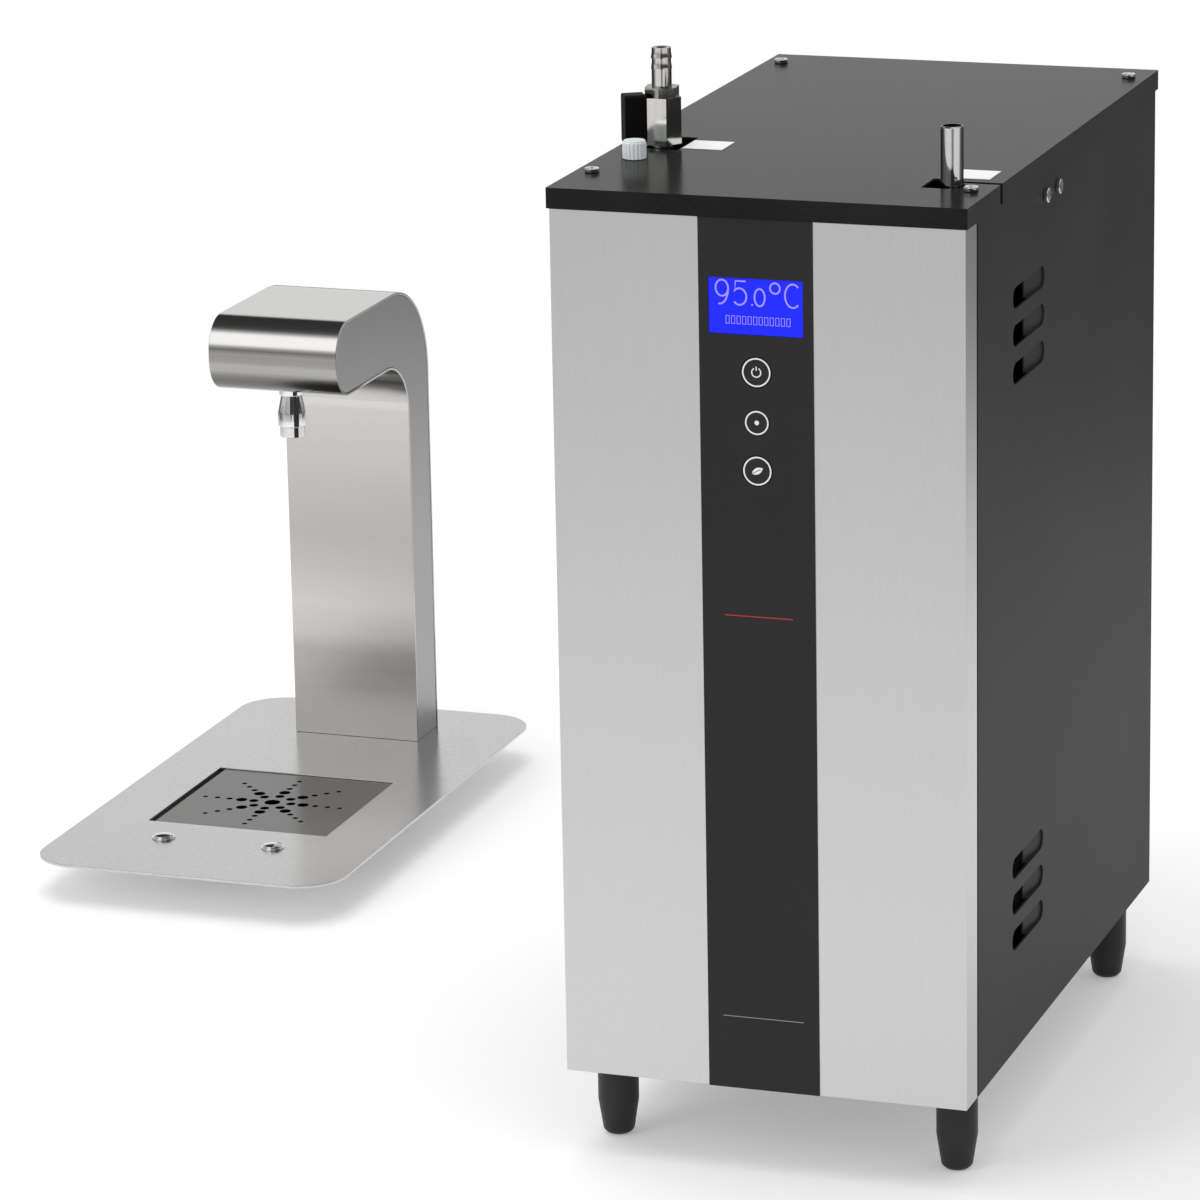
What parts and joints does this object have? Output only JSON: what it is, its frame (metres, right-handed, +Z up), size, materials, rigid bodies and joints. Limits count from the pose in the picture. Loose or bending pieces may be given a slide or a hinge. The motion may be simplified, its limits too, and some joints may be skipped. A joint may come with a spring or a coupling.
{
  "type": "countertop water dispenser",
  "caption": "Bent stainless spout column on a drip-tray base plate with push buttons, set beside the steel boiler box with display, louvres, valve and vent that feeds it",
  "frame": {"origin": "middle of the floor area that the two units cover together, on the floor", "axes": "+X to the right seen from the front, +Y to the back, +Z up; the spout unit is on the left and the boiler on the right"},
  "size_m": [0.65, 0.6482, 0.5499],
  "materials": {
    "plate_steel": "fine satin",
    "column_steel": "satin with a vertical grain",
    "cheek_steel": "satin, darker than the skin",
    "nozzle_chrome": "polished",
    "tip_steel": "satin",
    "grid_steel": "satin",
    "pan_steel": "plain rolled sheet",
    "button_chrome": "polished",
    "fixing_steel": "bright zinc plated",
    "cast_alloy": "as cast",
    "tube_silicone": "smooth, food grade hose",
    "white_plastic": "plain moulded",
    "black_plastic": "plain moulded",
    "front_steel": "satin with a horizontal grain",
    "strip_black": "smooth printed film",
    "display_blue": "lit blue behind clear film",
    "board_green": "solder resist",
    "side_coat": "textured powder coat",
    "lid_coat": "lightly textured coat with a sheen",
    "grey_sheet": "zinc coated sheet",
    "label_white": "bare white",
    "foot_plastic": "plain moulded",
    "tank_steel": "bright drawn",
    "gasket_rubber": "plain",
    "jacket_fabric": "felted insulation",
    "element_steel": "dull sheathed",
    "vent_steel": "polished tube",
    "valve_nickel": "nickel plated brass",
    "lever_plastic": "plain moulded",
    "cap_plastic": "translucent white"
  },
  "bodies": {
    "set": {"base_plate": "plate_steel", "column_skin": "column_steel", "left_cheek": "cheek_steel", "right_cheek": "cheek_steel", "nozzle_collar": "nozzle_chrome", "nozzle_body": "nozzle_chrome", "nozzle_tip": "tip_steel", "spout_tube": "tube_silicone", "foot_block": "cast_alloy", "mounting_studs": "fixing_steel", "foot_screws": "fixing_steel", "tube_connector": "white_plastic", "drip_pan": "pan_steel", "drain_spigot": "pan_steel", "left_button_housing": "button_chrome", "right_button_housing": "button_chrome", "button_nuts": "fixing_steel", "base_tray": "grey_sheet", "front_panel": "front_steel", "control_strip": "strip_black", "display_window": "display_blue", "display_module": "black_plastic", "control_board": "board_green", "ready_lens": "strip_black", "left_panel": "side_coat", "right_panel": "side_coat", "rear_panel": "side_coat", "top_deck": "grey_sheet", "lid": "lid_coat", "case_screws": "fixing_steel", "lid_labels": "label_white", "front_left_foot": "foot_plastic", "front_right_foot": "foot_plastic", "rear_left_foot": "foot_plastic", "rear_right_foot": "foot_plastic", "foot_nuts": "fixing_steel", "tank_posts": "fixing_steel", "tank": "tank_steel", "tank_gasket": "gasket_rubber", "tank_cover": "tank_steel", "cover_bolts": "fixing_steel", "insulation_jacket": "jacket_fabric", "heating_element": "element_steel", "temperature_probe": "element_steel", "level_probes": "white_plastic", "thermal_cutout": "black_plastic", "inlet_valve": "white_plastic", "inlet_pipe": "tube_silicone", "dispense_pump": "black_plastic", "outlet_pipes": "tube_silicone", "vent_tube": "vent_steel", "outlet_valve": "valve_nickel", "cable_gland": "black_plastic"},
    "left_button": {"left_button": "button_chrome"},
    "right_button": {"right_button": "button_chrome"},
    "drip_grid": {"drip_grid": "grid_steel"},
    "power_button": {"power_button": "strip_black"},
    "eco_button": {"eco_button": "strip_black"},
    "valve_lever": {"valve_lever": "lever_plastic"},
    "bleed_cap": {"bleed_cap": "cap_plastic"}
  },
  "joints": [
    {"name": "left_button_press", "type": "slide", "parent": "set", "child": "left_button", "axis": [0, 0, -1], "range_m": [0, 0.0015], "stiffness_N_per_m": 800, "springref_m": -0.0015},
    {"name": "right_button_press", "type": "slide", "parent": "set", "child": "right_button", "axis": [0, 0, -1], "range_m": [0, 0.0015], "stiffness_N_per_m": 800, "springref_m": -0.0015},
    {"name": "drip_grid_lift", "type": "slide", "parent": "set", "child": "drip_grid", "axis": [0, 0, 1], "range_m": [0, 0.04]},
    {"name": "power_button_press", "type": "slide", "parent": "set", "child": "power_button", "axis": [0, 1, 0], "range_m": [0, 0.0008], "stiffness_N_per_m": 1500, "springref_m": -0.0008},
    {"name": "eco_button_press", "type": "slide", "parent": "set", "child": "eco_button", "axis": [0, 1, 0], "range_m": [0, 0.0008], "stiffness_N_per_m": 1500, "springref_m": -0.0008},
    {"name": "valve_lever_turn", "type": "hinge", "parent": "set", "child": "valve_lever", "pos_m": [0.12091, -0.21823, 0.5147], "axis": [-0.866, -0.5, 0], "range_deg": [0, 90]},
    {"name": "bleed_cap_turn", "type": "hinge", "parent": "set", "child": "bleed_cap", "pos_m": [0.13, -0.2443, 0.495], "axis": [0, 0, 1], "range_deg": [0, 360]}
  ]
}
